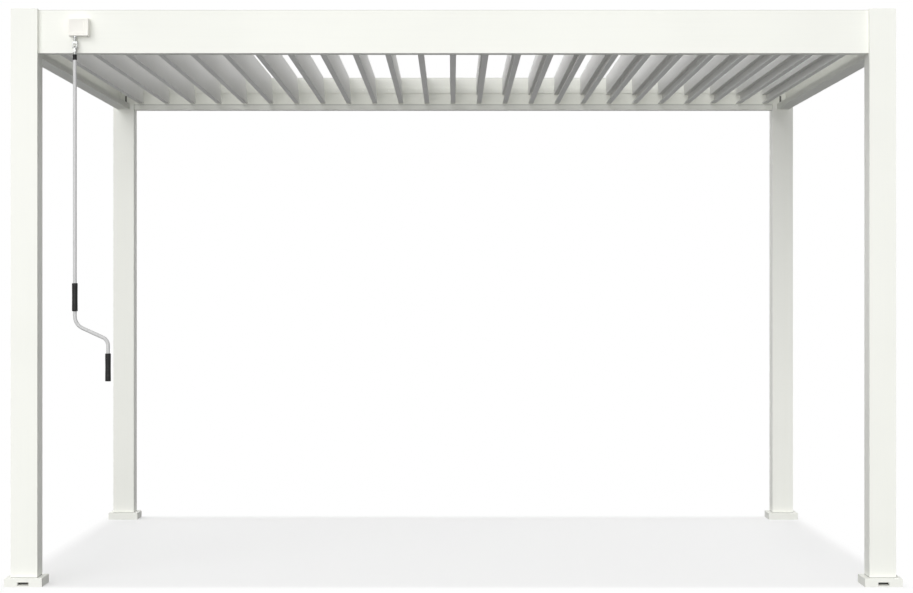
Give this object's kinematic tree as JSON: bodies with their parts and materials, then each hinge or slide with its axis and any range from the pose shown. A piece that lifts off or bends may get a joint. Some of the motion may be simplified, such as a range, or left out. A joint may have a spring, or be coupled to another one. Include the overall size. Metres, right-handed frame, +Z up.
{
  "type": "louvred-roof pergola",
  "caption": "Free-standing white aluminium pergola, 4 x 3 m, with 25 turning roof louvres and a hanging crank.",
  "frame": {"origin": "centre of the footprint at ground level", "axes": "+X along the front to the right, -Y towards the front with the crank, +Z up"},
  "size_m": [4.05, 3.05, 2.612],
  "materials": {
    "coated_aluminium": "satin",
    "gearbox_coating": "satin",
    "grey_coating": "satin",
    "bare_aluminium": "satin",
    "galvanised_steel": "satin",
    "black_plastic": "matte"
  },
  "bodies": {
    "frame": {"front_left_post": "coated_aluminium", "front_left_foot_cover": "coated_aluminium", "front_right_post": "coated_aluminium", "front_right_foot_cover": "coated_aluminium", "rear_left_post": "coated_aluminium", "rear_left_foot_cover": "coated_aluminium", "rear_right_post": "coated_aluminium", "rear_right_foot_cover": "coated_aluminium", "base_plates": "galvanised_steel", "post_caps": "coated_aluminium", "front_beam": "coated_aluminium", "rear_beam": "coated_aluminium", "left_beam": "coated_aluminium", "right_beam": "coated_aluminium", "front_gutter": "coated_aluminium", "rear_gutter": "coated_aluminium", "left_gutter": "coated_aluminium", "right_gutter": "coated_aluminium", "front_pivot_rail": "coated_aluminium", "rear_pivot_rail": "coated_aluminium", "gearbox": "gearbox_coating"},
    "louvre_01": {"louvre_01": "coated_aluminium"},
    "louvre_02": {"louvre_02": "coated_aluminium"},
    "louvre_03": {"louvre_03": "coated_aluminium"},
    "louvre_04": {"louvre_04": "coated_aluminium"},
    "louvre_05": {"louvre_05": "coated_aluminium"},
    "louvre_06": {"louvre_06": "coated_aluminium"},
    "louvre_07": {"louvre_07": "coated_aluminium"},
    "louvre_08": {"louvre_08": "coated_aluminium"},
    "louvre_09": {"louvre_09": "coated_aluminium"},
    "louvre_10": {"louvre_10": "coated_aluminium"},
    "louvre_11": {"louvre_11": "coated_aluminium"},
    "louvre_12": {"louvre_12": "coated_aluminium"},
    "louvre_13": {"louvre_13": "coated_aluminium"},
    "louvre_14": {"louvre_14": "coated_aluminium"},
    "louvre_15": {"louvre_15": "coated_aluminium"},
    "louvre_16": {"louvre_16": "coated_aluminium"},
    "louvre_17": {"louvre_17": "coated_aluminium"},
    "louvre_18": {"louvre_18": "coated_aluminium"},
    "louvre_19": {"louvre_19": "coated_aluminium"},
    "louvre_20": {"louvre_20": "coated_aluminium"},
    "louvre_21": {"louvre_21": "coated_aluminium"},
    "louvre_22": {"louvre_22": "coated_aluminium"},
    "louvre_23": {"louvre_23": "coated_aluminium"},
    "louvre_24": {"louvre_24": "coated_aluminium"},
    "louvre_25": {"louvre_25": "coated_aluminium"},
    "drive_bar": {"drive_bar": "bare_aluminium"},
    "crank_spindle": {"crank_spindle": "galvanised_steel"},
    "joint_cross": {"joint_cross": "galvanised_steel"},
    "crank": {"lower_fork": "galvanised_steel", "rod_collar": "black_plastic", "crank_rod": "grey_coating", "upper_grip": "black_plastic", "lower_grip": "black_plastic"}
  },
  "joints": [
    {"name": "louvre_01_pivot", "type": "hinge", "parent": "frame", "child": "louvre_01", "pos_m": [-1.842, 0, 2.531], "axis": [0, 1, 0], "range_deg": [0, 83.08]},
    {"name": "louvre_02_pivot", "type": "hinge", "parent": "frame", "child": "louvre_02", "pos_m": [-1.6885, 0, 2.531], "axis": [0, 1, 0], "range_deg": [0, 83.08]},
    {"name": "louvre_03_pivot", "type": "hinge", "parent": "frame", "child": "louvre_03", "pos_m": [-1.535, 0, 2.531], "axis": [0, 1, 0], "range_deg": [0, 83.08]},
    {"name": "louvre_04_pivot", "type": "hinge", "parent": "frame", "child": "louvre_04", "pos_m": [-1.3815, 0, 2.531], "axis": [0, 1, 0], "range_deg": [0, 83.08]},
    {"name": "louvre_05_pivot", "type": "hinge", "parent": "frame", "child": "louvre_05", "pos_m": [-1.228, 0, 2.531], "axis": [0, 1, 0], "range_deg": [0, 83.08]},
    {"name": "louvre_06_pivot", "type": "hinge", "parent": "frame", "child": "louvre_06", "pos_m": [-1.0745, 0, 2.531], "axis": [0, 1, 0], "range_deg": [0, 83.08]},
    {"name": "louvre_07_pivot", "type": "hinge", "parent": "frame", "child": "louvre_07", "pos_m": [-0.921, 0, 2.531], "axis": [0, 1, 0], "range_deg": [0, 83.08]},
    {"name": "louvre_08_pivot", "type": "hinge", "parent": "frame", "child": "louvre_08", "pos_m": [-0.7675, 0, 2.531], "axis": [0, 1, 0], "range_deg": [0, 83.08]},
    {"name": "louvre_09_pivot", "type": "hinge", "parent": "frame", "child": "louvre_09", "pos_m": [-0.614, 0, 2.531], "axis": [0, 1, 0], "range_deg": [0, 83.08]},
    {"name": "louvre_10_pivot", "type": "hinge", "parent": "frame", "child": "louvre_10", "pos_m": [-0.4605, 0, 2.531], "axis": [0, 1, 0], "range_deg": [0, 83.08]},
    {"name": "louvre_11_pivot", "type": "hinge", "parent": "frame", "child": "louvre_11", "pos_m": [-0.307, 0, 2.531], "axis": [0, 1, 0], "range_deg": [0, 83.08]},
    {"name": "louvre_12_pivot", "type": "hinge", "parent": "frame", "child": "louvre_12", "pos_m": [-0.1535, 0, 2.531], "axis": [0, 1, 0], "range_deg": [0, 83.08]},
    {"name": "louvre_13_pivot", "type": "hinge", "parent": "frame", "child": "louvre_13", "pos_m": [0, 0, 2.531], "axis": [0, 1, 0], "range_deg": [0, 83.08]},
    {"name": "louvre_14_pivot", "type": "hinge", "parent": "frame", "child": "louvre_14", "pos_m": [0.1535, 0, 2.531], "axis": [0, 1, 0], "range_deg": [0, 83.08]},
    {"name": "louvre_15_pivot", "type": "hinge", "parent": "frame", "child": "louvre_15", "pos_m": [0.307, 0, 2.531], "axis": [0, 1, 0], "range_deg": [0, 83.08]},
    {"name": "louvre_16_pivot", "type": "hinge", "parent": "frame", "child": "louvre_16", "pos_m": [0.4605, 0, 2.531], "axis": [0, 1, 0], "range_deg": [0, 83.08]},
    {"name": "louvre_17_pivot", "type": "hinge", "parent": "frame", "child": "louvre_17", "pos_m": [0.614, 0, 2.531], "axis": [0, 1, 0], "range_deg": [0, 83.08]},
    {"name": "louvre_18_pivot", "type": "hinge", "parent": "frame", "child": "louvre_18", "pos_m": [0.7675, 0, 2.531], "axis": [0, 1, 0], "range_deg": [0, 83.08]},
    {"name": "louvre_19_pivot", "type": "hinge", "parent": "frame", "child": "louvre_19", "pos_m": [0.921, 0, 2.531], "axis": [0, 1, 0], "range_deg": [0, 83.08]},
    {"name": "louvre_20_pivot", "type": "hinge", "parent": "frame", "child": "louvre_20", "pos_m": [1.0745, 0, 2.531], "axis": [0, 1, 0], "range_deg": [0, 83.08]},
    {"name": "louvre_21_pivot", "type": "hinge", "parent": "frame", "child": "louvre_21", "pos_m": [1.228, 0, 2.531], "axis": [0, 1, 0], "range_deg": [0, 83.08]},
    {"name": "louvre_22_pivot", "type": "hinge", "parent": "frame", "child": "louvre_22", "pos_m": [1.3815, 0, 2.531], "axis": [0, 1, 0], "range_deg": [0, 83.08]},
    {"name": "louvre_23_pivot", "type": "hinge", "parent": "frame", "child": "louvre_23", "pos_m": [1.535, 0, 2.531], "axis": [0, 1, 0], "range_deg": [0, 83.08]},
    {"name": "louvre_24_pivot", "type": "hinge", "parent": "frame", "child": "louvre_24", "pos_m": [1.6885, 0, 2.531], "axis": [0, 1, 0], "range_deg": [0, 83.08]},
    {"name": "louvre_25_pivot", "type": "hinge", "parent": "frame", "child": "louvre_25", "pos_m": [1.842, 0, 2.531], "axis": [0, 1, 0], "range_deg": [0, 83.08]},
    {"name": "drive_bar_pivot", "type": "hinge", "parent": "louvre_02", "child": "drive_bar", "pos_m": [-1.72829, -1.453, 2.57591], "axis": [0, 1, 0], "range_deg": [-83.08, 0]},
    {"name": "spindle_turn", "type": "hinge", "parent": "frame", "child": "crank_spindle", "pos_m": [-1.7105, -1.499, 2.437], "axis": [0, 0, 1], "range_deg": [0, 1080]},
    {"name": "crank_swing", "type": "hinge", "parent": "crank_spindle", "child": "joint_cross", "pos_m": [-1.7105, -1.499, 2.437], "axis": [1, 0, 0], "range_deg": [-45, 5]},
    {"name": "crank_sway", "type": "hinge", "parent": "joint_cross", "child": "crank", "pos_m": [-1.7105, -1.499, 2.437], "axis": [0, 1, 0], "range_deg": [-40, 5]}
  ],
  "couplings": [
    {"joint": "louvre_01_pivot", "follows": "louvre_02_pivot", "ratio": 1},
    {"joint": "louvre_03_pivot", "follows": "louvre_02_pivot", "ratio": 1},
    {"joint": "louvre_04_pivot", "follows": "louvre_02_pivot", "ratio": 1},
    {"joint": "louvre_05_pivot", "follows": "louvre_02_pivot", "ratio": 1},
    {"joint": "louvre_06_pivot", "follows": "louvre_02_pivot", "ratio": 1},
    {"joint": "louvre_07_pivot", "follows": "louvre_02_pivot", "ratio": 1},
    {"joint": "louvre_08_pivot", "follows": "louvre_02_pivot", "ratio": 1},
    {"joint": "louvre_09_pivot", "follows": "louvre_02_pivot", "ratio": 1},
    {"joint": "louvre_10_pivot", "follows": "louvre_02_pivot", "ratio": 1},
    {"joint": "louvre_11_pivot", "follows": "louvre_02_pivot", "ratio": 1},
    {"joint": "louvre_12_pivot", "follows": "louvre_02_pivot", "ratio": 1},
    {"joint": "louvre_13_pivot", "follows": "louvre_02_pivot", "ratio": 1},
    {"joint": "louvre_14_pivot", "follows": "louvre_02_pivot", "ratio": 1},
    {"joint": "louvre_15_pivot", "follows": "louvre_02_pivot", "ratio": 1},
    {"joint": "louvre_16_pivot", "follows": "louvre_02_pivot", "ratio": 1},
    {"joint": "louvre_17_pivot", "follows": "louvre_02_pivot", "ratio": 1},
    {"joint": "louvre_18_pivot", "follows": "louvre_02_pivot", "ratio": 1},
    {"joint": "louvre_19_pivot", "follows": "louvre_02_pivot", "ratio": 1},
    {"joint": "louvre_20_pivot", "follows": "louvre_02_pivot", "ratio": 1},
    {"joint": "louvre_21_pivot", "follows": "louvre_02_pivot", "ratio": 1},
    {"joint": "louvre_22_pivot", "follows": "louvre_02_pivot", "ratio": 1},
    {"joint": "louvre_23_pivot", "follows": "louvre_02_pivot", "ratio": 1},
    {"joint": "louvre_24_pivot", "follows": "louvre_02_pivot", "ratio": 1},
    {"joint": "louvre_25_pivot", "follows": "louvre_02_pivot", "ratio": 1},
    {"joint": "drive_bar_pivot", "follows": "louvre_02_pivot", "ratio": -1},
    {"joint": "spindle_turn", "follows": "louvre_02_pivot", "ratio": 13}
  ]
}
